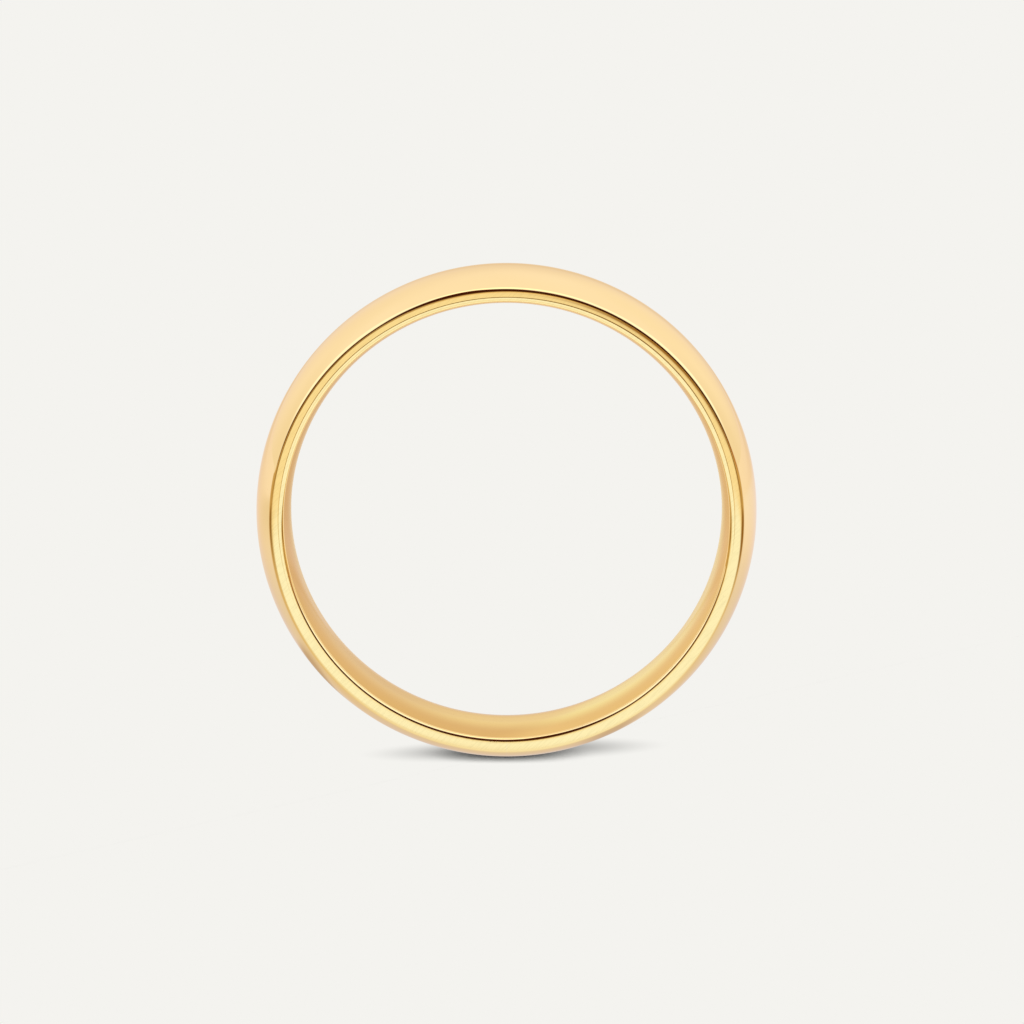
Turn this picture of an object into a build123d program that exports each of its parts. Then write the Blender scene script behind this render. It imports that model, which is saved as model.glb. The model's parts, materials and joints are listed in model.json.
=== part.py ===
from build123d import *
import os

# A plain wedding band of court section: domed outside, gently flared inside for comfort.
# It is one length of drawn wire bent into a loop, closed by one hard-soldered butt joint.
# Millimetres. The origin is the centre of the ring, the finger bore runs along Y and +Z is up,
# so the ring stands on its rim with the solder joint at the lowest point.

os.makedirs("parts", exist_ok=True)

# Driving dimensions
finger_diameter = 16.5  # narrowest inside diameter, at mid-width
band_width = 4.0  # along the finger
band_thickness = 1.33  # from the bore to the crown, at mid-width
crown_rise = 0.55  # height of the outer dome over its two corners
flare_rise = 0.29  # how far the inside opens out from mid-width to each corner
bore_land = 0.4  # straight stretch of the bore at mid-width
outer_corner_radius = 0.15  # polished corner between dome and side face
inner_corner_radius = 0.15  # polished corner between side face and flare
solder_thickness = 0.05  # gap between the two ends of the bent wire

# Radii and half widths worked out from them
bore_radius = finger_diameter / 2
crown_radius = bore_radius + band_thickness
side_outer_radius = crown_radius - crown_rise
side_inner_radius = bore_radius + flare_rise
half_width = band_width / 2
half_land = bore_land / 2
wall_middle_radius = bore_radius + band_thickness / 2

# Cross-section of the wire: X is the distance from the ring's axis, Y runs along the finger
with BuildSketch(Plane.XY) as court_section:
    with BuildLine():
        ThreePointArc(
            (side_outer_radius, -half_width),
            (crown_radius, 0),
            (side_outer_radius, half_width),
        )
        Line((bore_radius, -half_land), (bore_radius, half_land))
        for side in (-1, 1):
            land_end = (bore_radius, side * half_land)
            inner_corner = (side_inner_radius, side * half_width)
            outer_corner = (side_outer_radius, side * half_width)
            TangentArc(land_end, inner_corner, tangent=(0, side))
            Line(inner_corner, outer_corner)
    make_face()
    # Vertices by distance from the axis: the land's ends, the inner corners, the outer corners
    fillet(court_section.vertices().group_by(Axis.X)[-1], radius=outer_corner_radius)
    fillet(court_section.vertices().group_by(Axis.X)[1], radius=inner_corner_radius)

# The band: the wire bent round, its ends filed flat and parallel with the solder's gap between them
with BuildPart() as band:
    revolve(court_section.sketch, axis=Axis.Y)
    with Locations((0, 0, -wall_middle_radius)):
        Box(solder_thickness, 2 * band_width, 2 * band_thickness, mode=Mode.SUBTRACT)

# The solder joint: a thin film with the wire's own section, flush on all sides
with BuildPart() as solder_joint:
    revolve(court_section.sketch, axis=Axis.Y)
    with Locations((0, 0, -wall_middle_radius)):
        Box(solder_thickness, 2 * band_width, 2 * band_thickness, mode=Mode.INTERSECT)

band.part.label = "band"
export_step(band.part, "parts/band.step")

solder_joint.part.label = "solder_joint"
export_step(solder_joint.part, "parts/solder_joint.step")
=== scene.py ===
import json
import math
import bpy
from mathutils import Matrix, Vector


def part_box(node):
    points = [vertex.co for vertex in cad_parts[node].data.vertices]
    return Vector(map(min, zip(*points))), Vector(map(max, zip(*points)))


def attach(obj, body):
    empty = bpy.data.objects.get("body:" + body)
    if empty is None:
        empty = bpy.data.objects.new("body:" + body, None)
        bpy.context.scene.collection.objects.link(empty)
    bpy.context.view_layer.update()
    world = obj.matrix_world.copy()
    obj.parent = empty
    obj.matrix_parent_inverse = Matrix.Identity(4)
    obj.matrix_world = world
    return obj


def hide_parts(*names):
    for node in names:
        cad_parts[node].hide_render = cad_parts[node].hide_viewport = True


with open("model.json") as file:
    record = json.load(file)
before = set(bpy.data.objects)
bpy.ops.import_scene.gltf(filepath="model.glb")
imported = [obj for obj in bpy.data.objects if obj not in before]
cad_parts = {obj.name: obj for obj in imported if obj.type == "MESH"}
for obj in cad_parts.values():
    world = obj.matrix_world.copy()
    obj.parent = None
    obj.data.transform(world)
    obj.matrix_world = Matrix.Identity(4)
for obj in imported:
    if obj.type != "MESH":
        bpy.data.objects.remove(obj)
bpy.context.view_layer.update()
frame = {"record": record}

from types import SimpleNamespace

import bpy
from mathutils import Vector

# A polished gold wedding band standing on its rim on a pale floor. Metres, in the CAD frame: the
# finger bore runs along Y, +Z is up, and the solder joint is at the lowest point of the ring.

MM = 0.001
mounts = {m["name"]: m for m in frame["record"]["mounts"]}

# The section's driving sizes. The frame gives the bore and the width, and the crown and the flare
# repeat the CAD's. The corners are a little softer than the CAD's, as polishing leaves them.
BORE_RADIUS = mounts["finger_bore"]["dims"]["r_mm"] * MM
HALF_LAND = mounts["finger_bore"]["dims"]["length_mm"] * MM / 2
HALF_WIDTH = (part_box("band")[1].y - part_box("band")[0].y) / 2
CROWN_RADIUS = 9.58 * MM
CROWN_RISE = 0.55 * MM
FLARE_RISE = 0.29 * MM
OUTER_CORNER = 0.20 * MM
INNER_CORNER = 0.165 * MM
SOLDER_HALF = (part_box("solder_joint")[1].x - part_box("solder_joint")[0].x) / 2

# The side face: polishing has rounded it to a tilt and a sink at each corner, and a fine turned
# line, the crease, steps up in it near its inner edge.
FACE_TILT = math.radians(5.0)
OUTER_SINK = 0.008 * MM
INNER_SINK = 0.005 * MM
CREASE_RADIUS = 8.725 * MM
CREASE_WIDTH = 0.023 * MM
CREASE_DEPTH = 0.0048 * MM
CREASE_SLOPE = 0.4  # of the corners' slope, just inside the crease

# Mesh density: steps along each stretch of the section, and round the ring
CROWN_STEPS = 40
CORNER_STEPS = 14
FACE_STEPS = 8
STRIP_STEPS = 4
CREASE_STEPS = 6
FLARE_STEPS = 14
LAND_STEPS = 4
RING_STEPS = 560

# Linear colours. The backdrop is the lit floor as the camera sees it; the rest is what the metal
# mirrors of the studio: a warm white surround, a lamp overhead, two soft boxes and the dark room.
# The spans are elevations in degrees.
BACKDROP = (0.905, 0.896, 0.863)
SURROUND_LOW = (0.93, 0.855, 0.775)
SURROUND_HIGH = (1.02, 0.965, 0.985)
SURROUND_SPAN = (8.0, 42.0)
LAMP = (1.50, 1.40, 1.28)
LAMP_SPAN = (56.0, 68.0)
LAMP_BACK = (0.20, 0.06)  # the lamp fades out towards the back over this y of the direction

# Ellipses round the ring in degrees: centre and half size as azimuth and elevation, tilt, softness
# and colour. Azimuth 0 is towards the camera and + is to the right, so 180 is straight behind.
BEHIND = [
    ((180.0, 0.0), (16.0, 11.0), 0.0, 0.6, (0.90, 0.77, 0.57)),  # warm haze straight behind
    ((147.0, 20.0), (20.0, 20.0), 25.0, 0.5, (1.02, 0.965, 0.94)),  # pale glow, far right
    ((210.0, 17.0), (21.0, 23.0), -25.0, 0.5, (1.0, 0.94, 0.92)),  # pale glow, far left
]
IN_FRONT = [
    ((-71.0, 42.0), (42.0, 28.0), 0.0, 0.2, (1.20, 1.20, 1.26)),  # left soft box
    ((68.0, 40.0), (42.0, 28.0), 0.0, 0.2, (1.20, 1.22, 1.28)),  # right soft box
    ((-16.0, 40.0), (30.0, 17.0), 122.0, 0.25, (0.084, 0.030, 0.010)),  # dark room, upper left
    ((24.0, 7.0), (46.0, 20.0), -25.0, 0.2, (0.06, 0.020, 0.005)),  # dark room, right
    ((-31.0, 8.0), (33.0, 18.0), 25.0, 0.2, (0.06, 0.022, 0.006)),  # dark room, left
    ((4.0, 28.0), (36.0, 24.0), -30.0, 0.2, (0.055, 0.010, 0.002)),  # the camera and its dark screen
    ((-64.0, -10.0), (54.0, 8.0), 17.0, 0.5, (0.40, 0.21, 0.05)),  # table's edge, left
    ((64.0, -4.0), (30.0, 8.0), -3.0, 0.5, (0.45, 0.17, 0.03)),  # table's edge, right
]

# The floor reaches this many metres to each side. The metal sees painted light and shade on it: a tint
# near the ring, one far from it and one in front, over spans in millimetres, and then ellipses of light
# and shade.
FLOOR_REACH = 4.0
FLOOR_NEAR = (0.79, 0.76, 0.85)
FLOOR_FAR = (0.99, 0.91, 0.90)
FLOOR_SPAN = (8.0, 45.0)
FLOOR_FRONT = (0.60, 0.40, 0.16)
FRONT_SPAN = (0.30, -0.20)  # of y divided by the distance from the ring's foot plus FRONT_NEAR
FRONT_NEAR = 12.0
POOLS = [
    ((0.0, 560.0), (150.0, 490.0), 0.0, 0.2, (0.90, 0.77, 0.58)),  # the far end, in warm shade
    ((-58.0, 22.0), (26.0, 22.0), 0.0, 0.7, (0.86, 0.77, 0.67)),  # shade behind, left
    ((46.0, 42.0), (28.0, 24.0), 0.0, 0.6, (0.99, 0.95, 1.02)),  # light behind, right
    ((-1.0, 34.0), (15.0, 17.0), 0.0, 0.5, (0.91, 0.79, 0.60)),  # the ring's soft shade behind it
    ((66.0, -240.0), (52.0, 170.0), 0.0, 0.4, (0.20, 0.09, 0.02)),  # dark beside the camera, right
    ((-72.0, -240.0), (50.0, 160.0), 0.0, 0.4, (0.22, 0.11, 0.03)),  # dark beside the camera, left
    ((0.0, -400.0), (18.0, 330.0), 0.0, 0.5, (0.90, 0.66, 0.34)),  # warm light towards the camera
    ((41.0, -20.0), (26.0, 17.0), 0.0, 0.4, (0.28, 0.14, 0.03)),  # shade in front, right
    ((-44.0, -26.0), (22.0, 18.0), 0.0, 0.5, (0.32, 0.18, 0.05)),  # shade in front, left
    ((0.0, -100.0), (34.0, 95.0), 0.0, 0.4, (0.985, 0.90, 0.67)),  # lamp light, far
    ((28.0, -160.0), (20.0, 72.0), 9.0, 0.35, (0.36, 0.19, 0.05)),  # shade, far right
    ((3.0, -26.0), (22.0, 25.0), 0.0, 0.2, (1.02, 1.10, 1.12)),  # lamp light, near
    ((0.0, 0.5), (7.0, 2.1), 0.0, 0.3, (0.80, 0.73, 0.70)),  # the ring's contact shade
    ((2.0, -27.0), (4.0, 15.0), 11.0, 0.5, (0.98, 0.96, 0.80)),  # the ring's own glow
    ((-9.0, 8.0), (2.2, 4.5), -24.0, 0.5, (0.62, 0.50, 0.38)),  # the ring's shadow, left
    ((4.3, 0.6), (1.3, 1.6), 9.0, 0.8, (0.66, 0.56, 0.48)),  # the ring's shadow, right
]
# The ring's shadow as the camera sees it: a soft ellipse in millimetres, the light left in it, and
# the darkness where the ring all but touches the floor
SHADOW = ((0.3, 0.65), (3.3, 1.15), 9.0, 0.9)
SHADOW_LIGHT = 0.23
TOUCH_REACH = 1.3 * MM
TOUCH_SAMPLES = 16
TOUCH_DARK = 0.02  # openness up to which the floor is black
TOUCH_GAIN = 2.2
BLACK = (0.0, 0.0, 0.0)

# The gold's reflectance face on. Outside, the fine tone varies towards the deep one.
FINE_GOLD = (1.0, 0.80, 0.42)
DEEP_GOLD = (0.985, 0.78, 0.40)
SOLDER_GOLD = (0.985, 0.80, 0.45)
SOLDER_DEEP = (0.96, 0.77, 0.42)
INSIDE_GOLD = (0.955, 0.745, 0.25)
# Painted shade: the darker tone given to the left of the inside
LEFT_INSIDE_PAINTED_SHADE = (0.80, 0.57, 0.19)
FLARE_PAINTED_SHADE = (0.73, 0.465, 0.15)  # the inside near its corners, darker there as painted shade
INSIDE_PAINTED_REFLECTION = (1.13, 1.20, 1.26)  # how much lighter a painted reflection makes the right of the inside
EDGE_TINT = (0.92, 0.85, 0.81)  # how much of the reflectance is left near grazing
STROKE_SHADE = 0.9  # how light a polishing stroke is, of the deep tone

# Roughness of each finish in its smoothest and roughest places, and what wear adds to it
DOME_ROUGHNESS = (0.024, 0.039)
FACE_ROUGHNESS = (0.021, 0.0525)
INSIDE_ROUGHNESS = (0.096, 0.144)
CORNER_ROUGHNESS = 0.02
HAIRLINE_ROUGHNESS = 0.08

# Where the finishes meet, in millimetres
INSIDE_RADIUS = (8.75, 8.65)  # the inside's finish sets in over this distance from the axis
INSIDE_AWAY = (1.905, 1.875)  # and over this distance from mid-width
FLARE_AWAY = (0.3, 1.5)  # the painted shade towards the inside's corners sets in over this distance from mid-width
LEFT_SPAN = (-1.0, -5.0)  # the painted shade on the left of the inside sets in over this x
SLANT_X = 2.5  # the painted reflection sets in over SLANT_SPAN of x past SLANT_X + SLANT * y
SLANT = 1.3
SLANT_SPAN = (-1.0, 1.2)
FACE_SINK = (0.035, 0.012)  # the side face's finish sets in over this depth below its highest line
INNER_WEAR = BORE_RADIUS / MM + 0.34  # the four worn corners: radius, depth and reach
OUTER_WEAR = CROWN_RADIUS / MM - 0.58
WEAR_SINK = 0.05
WEAR_REACH = (0.12, 0.03)

# The marks' noises: the radius in cells of the circle that goes round the ring, cells per millimetre
# across the wire, detail and an offset
BROAD = (1.7, 0.5, 2.0, 0.0)
LINES = (5.0, 14.0, 3.0, 0.0)
GRAIN = (14.0, 30.0, 2.0, 7.3)
SCRATCHES = (9.0, 3.0, 1.0, 3.1)
SCRATCH_WIDTH = 0.006
STROKES_ALONG = 1.1  # the side face's slanting strokes: cells per millimetre of x + z and x - z
STROKES_ACROSS = 11.0
STROKE_DETAIL = 2.0
STROKE_SPAN = (0.42, 0.66)
STROKE_SHARE = 0.6
CORNER_SHARE = 0.25  # how much of the first tone the worn corners get back
NOISE_ROUGHNESS = 0.6
NOISE_MIDDLE = 0.5
NOISE_SPAN = (0.3, 0.7)  # the values of a noise between which a tone or a finish changes
LINES_SPAN = (0.35, 0.75)

# The relief of the marks: a unit of height in metres, and each mark's height in those units
LINE_DEPTH = 0.2e-7
DOME_LINES = 0.25
INSIDE_LINES = 0.6
FACE_LINES = 1.0
OUTSIDE_GRAIN = 0.1
INSIDE_GRAIN = 0.5
STROKE_HEIGHT = 5.0
HAIRLINE_HEIGHT = 0.4

# The camera, in metres: how far off it is, and how much it takes in at the ring
CAMERA_ELEVATION = math.radians(12.2)
CAMERA_DISTANCE = 0.495
FRAME_WIDTH = 0.03923
CAMERA_AIM = Vector((0.00021, 0.0, -0.00007))


def on_arc(centre, radius, angle):
    """The point on an arc in the section's plane at an angle."""
    return centre[0] + radius * math.cos(angle), centre[1] + radius * math.sin(angle)


def arc(centre, radius, start, end, steps):
    """Points on an arc from one angle to another, with the last left out."""
    turn = (end - start) / steps
    return [on_arc(centre, radius, start + i * turn) for i in range(steps)]


def straight(start, end, steps):
    """Points from start to end, with the last left out."""
    return [
        (start[0] + (end[0] - start[0]) * i / steps, start[1] + (end[1] - start[1]) * i / steps)
        for i in range(steps)
    ]


def eased(start, end, start_slope, end_slope, steps):
    """Points on a cubic from start to end with a slope of y against radius at each, the last left out."""
    run = end[0] - start[0]
    made = []
    for i in range(steps):
        t = i / steps
        y = start[1] * (1 + 2 * t) * (1 - t) ** 2 + end[1] * t * t * (3 - 2 * t)
        y += run * (start_slope * t * (1 - t) ** 2 - end_slope * t * t * (1 - t))
        made.append((start[0] + run * t, y))
    return made


def side_face(outer, inner, slope):
    """One side face from its outer corner to its inner, faintly rounded, with the turned crease."""
    top = HALF_WIDTH
    low = (CREASE_RADIUS, top - CREASE_DEPTH)
    high = (CREASE_RADIUS - CREASE_WIDTH, top)
    return (
        eased(outer, low, -slope, 0.0, FACE_STEPS)
        + eased(low, high, 0.0, slope * CREASE_SLOPE, CREASE_STEPS)
        + eased(high, inner, slope * CREASE_SLOPE, slope, STRIP_STEPS)
    )


def half_section():
    """Half the wire's outline, as (radius, y) from the crown at mid-width to the bore at mid-width."""
    crown_arc = (HALF_WIDTH**2 + CROWN_RISE**2) / (2 * CROWN_RISE)
    crown_centre = (CROWN_RADIUS - crown_arc, 0.0)
    flare_run = HALF_WIDTH - HALF_LAND
    flare_arc = (flare_run**2 + FLARE_RISE**2) / (2 * FLARE_RISE)
    flare_centre = (BORE_RADIUS + flare_arc, HALF_LAND)

    # Each corner's arc touches the crown's or the flare's, and meets the tilted side face smoothly
    outer_y = HALF_WIDTH - OUTER_SINK - OUTER_CORNER
    outer_reach = math.sqrt((crown_arc - OUTER_CORNER) ** 2 - outer_y**2)
    outer_centre = (crown_centre[0] + outer_reach, outer_y)
    outer_angle = math.atan2(outer_y, outer_reach)
    outer_end = math.pi / 2 - FACE_TILT

    inner_y = HALF_WIDTH - INNER_SINK - INNER_CORNER
    inner_rise = inner_y - HALF_LAND
    inner_reach = math.sqrt((flare_arc - INNER_CORNER) ** 2 - inner_rise**2)
    inner_centre = (flare_centre[0] - inner_reach, inner_y)
    inner_angle = math.atan2(inner_rise, -inner_reach)
    inner_end = math.pi / 2 + FACE_TILT

    corner = on_arc(outer_centre, OUTER_CORNER, outer_end)
    heel = on_arc(inner_centre, INNER_CORNER, inner_end)
    return (
        arc(crown_centre, crown_arc, 0.0, outer_angle, CROWN_STEPS // 2)
        + arc(outer_centre, OUTER_CORNER, outer_angle, outer_end, CORNER_STEPS)
        + side_face(corner, heel, math.tan(FACE_TILT))
        + arc(inner_centre, INNER_CORNER, inner_end, inner_angle, CORNER_STEPS)
        + arc(flare_centre, flare_arc, inner_angle, math.pi, FLARE_STEPS)
        + straight((BORE_RADIUS, HALF_LAND), (BORE_RADIUS, 0.0), LAND_STEPS // 2)
        + [(BORE_RADIUS, 0.0)]
    )


def full_section():
    """The whole closed outline: the half, then its mirror image back to the crown."""
    half = half_section()
    mirrored = [(r, -y) for r, y in reversed(half[1:-1])]
    return half + mirrored


def new_piece(name, points, faces, sharp_rings):
    """A smooth-shaded mesh object, with hard edges round its end faces."""
    mesh = bpy.data.meshes.new(name)
    mesh.from_pydata(points, [], faces)
    mesh.validate()
    mesh.shade_smooth()
    hard = set()
    for ring in sharp_rings:
        hard |= {frozenset(pair) for pair in zip(ring, ring[1:] + ring[:1])}
    for edge in mesh.edges:
        edge.use_edge_sharp = frozenset(edge.vertices) in hard
    piece = bpy.data.objects.new(name, mesh)
    bpy.context.scene.collection.objects.link(piece)
    return piece


def swept(name, stations):
    """The section carried through a list of stations, closed by a flat face at each end.

    A station is a function from a radius to (x, z).
    """
    section = full_section()
    count = len(section)
    points = []
    for station in stations:
        for r, y in section:
            x, z = station(r)
            points.append((x, y, z))
    faces = []
    for s in range(len(stations) - 1):
        for k in range(count):
            a, b = s * count + k, s * count + (k + 1) % count
            faces.append((a, b, b + count, a + count))
    first = list(range(count))
    last = [(len(stations) - 1) * count + k for k in range(count)]
    faces.append(tuple(reversed(first)))
    faces.append(tuple(last))
    return new_piece(name, points, faces, [first, last])


def joint_face(side):
    """The station at the solder joint's face: a plane at constant x, just beside the lowest point."""
    def place(r):
        return side * SOLDER_HALF, -math.sqrt(r**2 - SOLDER_HALF**2)
    return place


def ring_station(angle):
    """A radial station at an angle from the lowest point, turning towards +X."""
    def place(r):
        return r * math.sin(angle), -r * math.cos(angle)
    return place


def make_band():
    """The bent wire: all the way round from one face of the solder joint to the other."""
    step = 2 * math.pi / RING_STEPS
    stations = [joint_face(1)]
    stations += [ring_station(step * i) for i in range(1, RING_STEPS)]
    stations += [joint_face(-1)]
    return swept("band_wire", stations)


def make_solder():
    """The solder film between the wire's two ends."""
    return swept("solder_film", [joint_face(-1), ring_station(0.0), joint_face(1)])


class Nodes:
    """A node tree being built. A method adds a node or a few, and hands back what comes out."""

    def __init__(self, tree):
        self.tree = tree
        tree.nodes.clear()

    def add(self, kind, inputs=(), **settings):
        """Any node, handed back whole.

        Its settings go by name. Its inputs go by name or number, as values or other nodes' outputs.
        """
        node = self.tree.nodes.new(kind)
        for name, value in settings.items():
            setattr(node, name, value)
        for key, value in dict(inputs).items():
            if isinstance(value, bpy.types.NodeSocket):
                self.tree.links.new(value, node.inputs[key])
            else:
                node.inputs[key].default_value = value
        return node

    def math(self, operation, *values):
        """One step of arithmetic on numbers or outputs."""
        return self.add("ShaderNodeMath", dict(enumerate(values)), operation=operation).outputs[0]

    def total(self, first, first_share, second, second_share):
        """So much of the first value plus so much of the second."""
        part = self.math("MULTIPLY", first, first_share)
        return self.math("ADD", part, self.math("MULTIPLY", second, second_share))

    def length(self, first, second):
        """The length of an arrow from its two parts."""
        return self.math("SQRT", self.total(first, first, second, second))

    def smooth(self, value, zero_at, one_at):
        """A smooth step from 0 to 1 between two values, rising or falling."""
        inputs = {"Value": value, "From Min": zero_at, "From Max": one_at}
        kind = "ShaderNodeMapRange"
        return self.add(kind, inputs, interpolation_type="SMOOTHSTEP").outputs["Result"]

    def mix(self, factor, first, second):
        """From the first colour at factor 0 to the second at 1."""
        inputs = {"Factor": factor, 6: colour(first), 7: colour(second)}
        return self.add("ShaderNodeMix", inputs, data_type="RGBA").outputs[2]

    def lerp(self, factor, first, second):
        """From the first number at factor 0 to the second at 1."""
        inputs = {"Factor": factor, 2: first, 3: second}
        return self.add("ShaderNodeMix", inputs, data_type="FLOAT").outputs[0]

    def patch(self, u, v, centre, half, tilt, softness):
        """An ellipse in u and v that is 1 inside and 0 outside, with a soft edge."""
        off_u = self.math("SUBTRACT", u, centre[0])
        off_v = self.math("SUBTRACT", v, centre[1])
        cosine = math.cos(math.radians(tilt))
        sine = math.sin(math.radians(tilt))
        along = self.total(off_u, cosine / half[0], off_v, sine / half[0])
        across = self.total(off_v, cosine / half[1], off_u, -sine / half[1])
        return self.smooth(self.length(along, across), 1 + softness, 1 - softness)

    def place(self):
        """The shaded point's x, y and z on its object, in millimetres."""
        metres = self.add("ShaderNodeTexCoord").outputs["Object"]
        split = self.add("ShaderNodeSeparateXYZ", {0: metres})
        return [self.math("DIVIDE", socket, MM) for socket in split.outputs]


def colour(value):
    """Red, green and blue with an opacity of 1 added. An output passes through unchanged."""
    return value if isinstance(value, bpy.types.NodeSocket) else (*value, 1.0)


def scaled(value, factor):
    """A colour made darker or lighter."""
    return tuple(channel * factor for channel in value)


def product(first, second):
    """Two colours multiplied, kept within what a surface can reflect."""
    return tuple(min(a * b, 1.0) for a, b in zip(first, second))


def make_studio():
    """The surroundings that the polished metal mirrors. The camera sees the backdrop instead."""
    world = bpy.data.worlds.new("studio")
    world.use_nodes = True
    world.cycles.sampling_method = "NONE"
    bpy.context.scene.world = world
    n = Nodes(world.node_tree)
    direction = n.add("ShaderNodeTexCoord").outputs["Generated"]
    x, y, z = n.add("ShaderNodeSeparateXYZ", {0: direction}).outputs
    azimuth = n.math("DEGREES", n.math("ARCTAN2", x, n.math("MULTIPLY", y, -1.0)))
    turned = n.math("FLOORED_MODULO", azimuth, 360.0)
    elevation = n.math("DEGREES", n.math("ARCSINE", z))

    seen = n.mix(n.smooth(elevation, *SURROUND_SPAN), SURROUND_LOW, SURROUND_HIGH)
    overhead = n.math("MULTIPLY", n.smooth(elevation, *LAMP_SPAN), n.smooth(y, *LAMP_BACK))
    seen = n.mix(overhead, seen, LAMP)
    for *shape, tint in BEHIND:
        seen = n.mix(n.patch(turned, elevation, *shape), seen, tint)
    for *shape, tint in IN_FRONT:
        seen = n.mix(n.patch(azimuth, elevation, *shape), seen, tint)
    glossy = n.add("ShaderNodeLightPath").outputs["Is Glossy Ray"]
    shader = n.add("ShaderNodeBackground", {"Color": n.mix(glossy, BACKDROP, seen)})
    n.add("ShaderNodeOutputWorld", {"Surface": shader.outputs[0]})


def make_floor():
    """A plain pale floor under the ring, reaching past everything a camera round the ring can see."""
    z = -CROWN_RADIUS
    corners = [(-FLOOR_REACH, -FLOOR_REACH, z), (FLOOR_REACH, -FLOOR_REACH, z)]
    corners += [(FLOOR_REACH, FLOOR_REACH, z), (-FLOOR_REACH, FLOOR_REACH, z)]
    mesh = bpy.data.meshes.new("floor")
    mesh.from_pydata(corners, [], [(0, 1, 2, 3)])
    floor = bpy.data.objects.new("floor", mesh)
    bpy.context.scene.collection.objects.link(floor)
    mesh.materials.append(floor_paper())
    return floor


def floor_paper():
    """Pale paper that glows evenly for the camera, with the ring's soft shadow on it.

    Glossy rays see the light and shade of the studio on it instead, so only the metal mirrors them.
    """
    material = bpy.data.materials.new("floor_paper")
    material.use_nodes = True
    n = Nodes(material.node_tree)
    x, y = n.place()[:2]
    distance = n.length(x, y)
    seen = n.mix(n.smooth(distance, *FLOOR_SPAN), FLOOR_NEAR, FLOOR_FAR)
    behind = n.math("DIVIDE", y, n.math("ADD", distance, FRONT_NEAR))
    seen = n.mix(n.smooth(behind, *FRONT_SPAN), seen, FLOOR_FRONT)
    for *shape, tint in POOLS:
        seen = n.mix(n.patch(x, y, *shape), seen, tint)

    inputs = {"Distance": TOUCH_REACH}
    openness = n.add("ShaderNodeAmbientOcclusion", inputs, samples=TOUCH_SAMPLES).outputs["AO"]
    root = n.math("SQRT", n.math("MAXIMUM", n.math("SUBTRACT", openness, TOUCH_DARK), 0.0))
    touch = n.math("MINIMUM", n.math("MULTIPLY", root, TOUCH_GAIN), 1.0)
    shade = n.math("MULTIPLY", touch, n.lerp(n.patch(x, y, *SHADOW), 1.0, SHADOW_LIGHT))
    shown = n.mix(shade, BLACK, BACKDROP)

    glossy = n.add("ShaderNodeLightPath").outputs["Is Glossy Ray"]
    shader = n.add("ShaderNodeEmission", {"Color": n.mix(glossy, shown, seen)})
    n.add("ShaderNodeOutputMaterial", {"Surface": shader.outputs[0]})
    return material


def ring_zones(n):
    """Where the shaded point is on the ring, and how much it belongs to each finish, from 0 to 1."""
    x, y, z = n.place()
    radius = n.length(x, z)
    away = n.math("ABSOLUTE", y)
    inside = n.math("MULTIPLY", n.smooth(radius, *INSIDE_RADIUS), n.smooth(away, *INSIDE_AWAY))
    half_width = HALF_WIDTH / MM
    face = n.smooth(away, half_width - FACE_SINK[0], half_width - FACE_SINK[1])
    # How near the surface is to one of its four rounded corners
    off_middle = n.math("ABSOLUTE", n.math("SUBTRACT", radius, (INNER_WEAR + OUTER_WEAR) / 2))
    across = n.math("SUBTRACT", off_middle, (OUTER_WEAR - INNER_WEAR) / 2)
    along = n.math("SUBTRACT", away, half_width - WEAR_SINK)
    corner = n.smooth(n.length(across, along), *WEAR_REACH)
    # The place round the ring, as a point on a circle, so that no noise shows a seam
    around_x = n.math("DIVIDE", x, radius)
    around_z = n.math("DIVIDE", z, radius)
    return SimpleNamespace(
        x=x,
        y=y,
        z=z,
        radius=radius,
        around_x=around_x,
        around_z=around_z,
        away=away,
        inside=inside,
        face=face,
        corner=corner,
    )


def streaks(n, at, circle, per_mm, detail, offset):
    """Noise drawn out along the wire, with few cells round the ring and many across the wire."""
    inputs = {
        0: n.math("MULTIPLY", at.around_x, circle),
        1: n.math("MULTIPLY", at.around_z, circle),
        2: n.math("MULTIPLY_ADD", at.y, per_mm, offset),
    }
    vector = n.add("ShaderNodeCombineXYZ", inputs).outputs[0]
    inputs = {
        "Vector": vector,
        "W": n.math("MULTIPLY", at.radius, per_mm),
        "Scale": 1.0,
        "Detail": detail,
        "Roughness": NOISE_ROUGHNESS,
    }
    return n.add("ShaderNodeTexNoise", inputs, noise_dimensions="4D").outputs["Fac"]


def slanting_strokes(n, at):
    """Polishing strokes: a noise drawn out along one slanting direction across the side face."""
    inputs = {
        0: n.math("MULTIPLY", n.math("ADD", at.x, at.z), STROKES_ALONG),
        1: n.math("MULTIPLY", n.math("SUBTRACT", at.x, at.z), STROKES_ACROSS),
        2: at.y,
    }
    vector = n.add("ShaderNodeCombineXYZ", inputs).outputs[0]
    inputs = {
        "Vector": vector,
        "Scale": 1.0,
        "Detail": STROKE_DETAIL,
        "Roughness": NOISE_ROUGHNESS,
    }
    return n.add("ShaderNodeTexNoise", inputs).outputs["Fac"]


def making_marks(n, at):
    """The marks of the ring's making, as noises, and the hairlines that wear leaves on it."""
    # A hairline is a narrow place where a noise crosses its middle value
    crossing = n.math("ABSOLUTE", n.math("SUBTRACT", streaks(n, at, *SCRATCHES), NOISE_MIDDLE))
    return SimpleNamespace(
        broad=streaks(n, at, *BROAD),
        lines=streaks(n, at, *LINES),
        grain=streaks(n, at, *GRAIN),
        strokes=slanting_strokes(n, at),
        hairline=n.smooth(crossing, SCRATCH_WIDTH, 0.0),
    )


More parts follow.
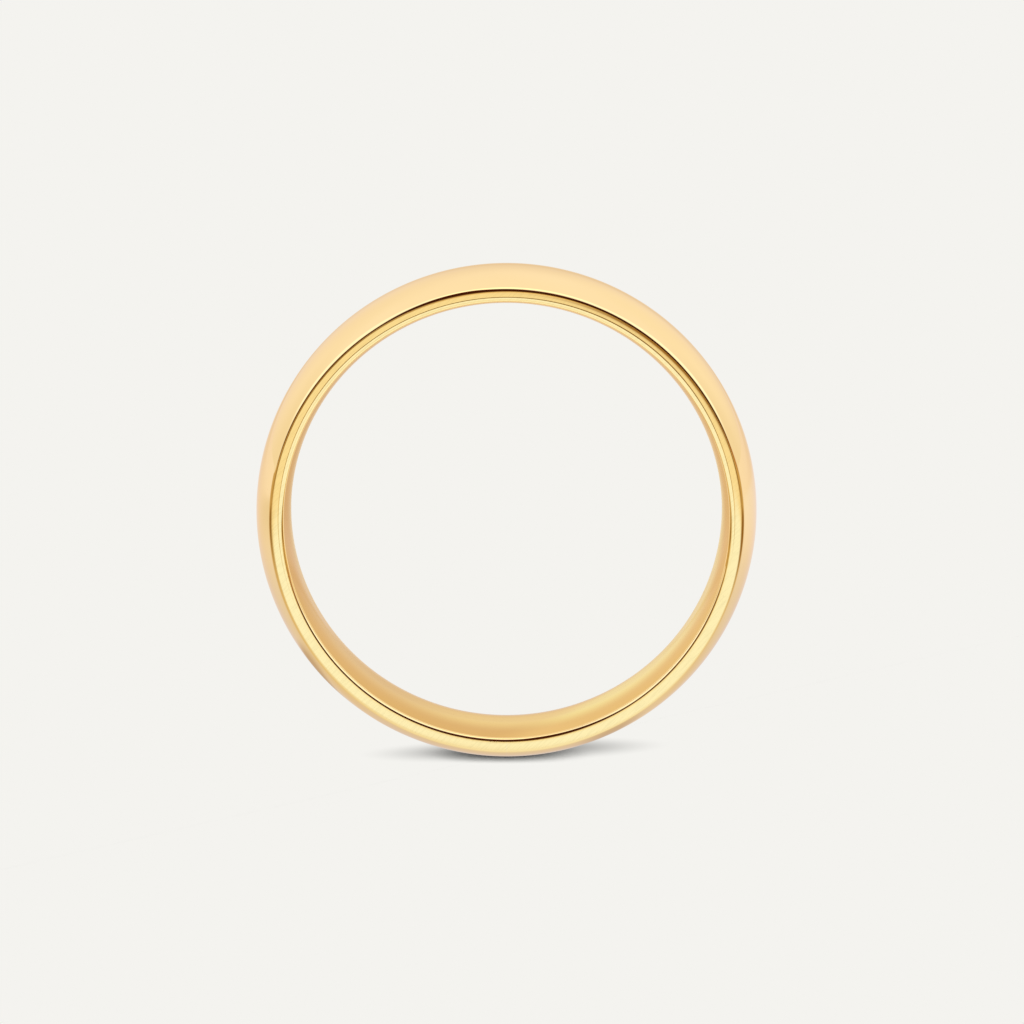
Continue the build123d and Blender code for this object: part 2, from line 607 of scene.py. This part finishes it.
def gold_inside(n, at):
    """The inside's tone: painted shade deepens it towards its corners and on the left, and a painted
    reflection lightens it past a slanting edge.
    """
    flare = n.smooth(at.away, *FLARE_AWAY)
    # Painted shade on the left of the inside
    middle = n.mix(n.smooth(at.x, *LEFT_SPAN), INSIDE_GOLD, LEFT_INSIDE_PAINTED_SHADE)
    # Painted shade towards the inside's corners
    inner = n.mix(flare, middle, FLARE_PAINTED_SHADE)
    # Painted reflection: the same tones made lighter past the slanting edge
    light_middle = product(INSIDE_GOLD, INSIDE_PAINTED_REFLECTION)
    lighter = n.mix(flare, light_middle, product(FLARE_PAINTED_SHADE, INSIDE_PAINTED_REFLECTION))
    past_edge = n.math("MULTIPLY_ADD", at.y, -SLANT, n.math("SUBTRACT", at.x, SLANT_X))
    return n.mix(n.smooth(past_edge, *SLANT_SPAN), inner, lighter)


def gold_tone(n, at, marks, base, deep):
    """The gold's colour all over the ring."""
    tone = n.mix(n.smooth(marks.broad, *NOISE_SPAN), base, deep)
    # The inside's tone, with its painted shade and painted reflection
    tone = n.mix(at.inside, tone, gold_inside(n, at))
    tone = n.mix(n.math("MULTIPLY", at.corner, CORNER_SHARE), tone, base)
    stroke = n.smooth(marks.strokes, *STROKE_SPAN)
    stroke = n.math("MULTIPLY", stroke, n.math("MULTIPLY", at.face, STROKE_SHARE))
    return n.mix(stroke, tone, scaled(deep, STROKE_SHADE))


def gold_roughness(n, at, marks):
    """A mirror outside, a little less on the lapped side faces, and a soft tumbled finish inside."""
    outside = n.lerp(n.smooth(marks.lines, *LINES_SPAN), *DOME_ROUGHNESS)
    lapped = n.lerp(n.smooth(marks.lines, *NOISE_SPAN), *FACE_ROUGHNESS)
    tumbled = n.lerp(n.smooth(marks.grain, *NOISE_SPAN), *INSIDE_ROUGHNESS)
    rough = n.lerp(at.inside, n.lerp(at.face, outside, lapped), tumbled)
    rough = n.math("ADD", rough, n.math("MULTIPLY", at.corner, CORNER_ROUGHNESS))
    return n.math("ADD", rough, n.math("MULTIPLY", marks.hairline, HAIRLINE_ROUGHNESS))


def gold_relief(n, at, marks):
    """The height of every mark added up, as the normal that it gives."""
    heights = n.lerp(at.face, n.lerp(at.inside, DOME_LINES, INSIDE_LINES), FACE_LINES)
    relief = n.math("MULTIPLY", marks.lines, heights)
    heights = n.lerp(at.inside, OUTSIDE_GRAIN, INSIDE_GRAIN)
    relief = n.math("MULTIPLY_ADD", marks.grain, heights, relief)
    heights = n.math("MULTIPLY", at.face, STROKE_HEIGHT)
    relief = n.math("MULTIPLY_ADD", marks.strokes, heights, relief)
    relief = n.math("SUBTRACT", relief, n.math("MULTIPLY", marks.hairline, HAIRLINE_HEIGHT))
    inputs = {"Strength": 1.0, "Distance": LINE_DEPTH, "Height": relief}
    return n.add("ShaderNodeBump", inputs).outputs[0]


def gold(name, base, deep):
    """Polished gold with the marks of its making.

    The outside is a mirror with a few hairline scratches, the side faces carry the fine circular
    lines of lapping, the inside keeps a softer tumbled finish, and the corners are worn a little.
    """
    material = bpy.data.materials.new(name)
    material.use_nodes = True
    n = Nodes(material.node_tree)
    at = ring_zones(n)
    marks = making_marks(n, at)
    inputs = {
        "Base Color": gold_tone(n, at, marks, base, deep),
        "Metallic": 1.0,
        "Roughness": gold_roughness(n, at, marks),
        "Specular Tint": colour(EDGE_TINT),
        "Normal": gold_relief(n, at, marks),
    }
    shader = n.add("ShaderNodeBsdfPrincipled", inputs)
    n.add("ShaderNodeOutputMaterial", {"Surface": shader.outputs[0]})
    return material


def make_camera():
    """A long lens looking along +Y from slightly above, with the ring near the middle of the frame."""
    data = bpy.data.cameras.new("camera")
    data.sensor_width = 36.0
    data.lens = data.sensor_width * CAMERA_DISTANCE / FRAME_WIDTH
    data.clip_start = 0.01
    data.clip_end = 20.0
    camera = bpy.data.objects.new("camera", data)
    back = Vector((0.0, -math.cos(CAMERA_ELEVATION), math.sin(CAMERA_ELEVATION)))
    camera.location = CAMERA_AIM + back * CAMERA_DISTANCE
    camera.rotation_mode = "QUATERNION"
    camera.rotation_quaternion = (-back).to_track_quat("-Z", "Y")
    bpy.context.scene.collection.objects.link(camera)
    bpy.context.scene.camera = camera


band = make_band()
band.data.materials.append(gold("polished_gold", FINE_GOLD, DEEP_GOLD))
solder = make_solder()
solder.data.materials.append(gold("polished_solder", SOLDER_GOLD, SOLDER_DEEP))
floor = make_floor()
make_studio()
make_camera()
bpy.context.scene.view_settings.view_transform = "Standard"

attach(band, "root")
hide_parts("band")
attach(solder, "root")
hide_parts("solder_joint")
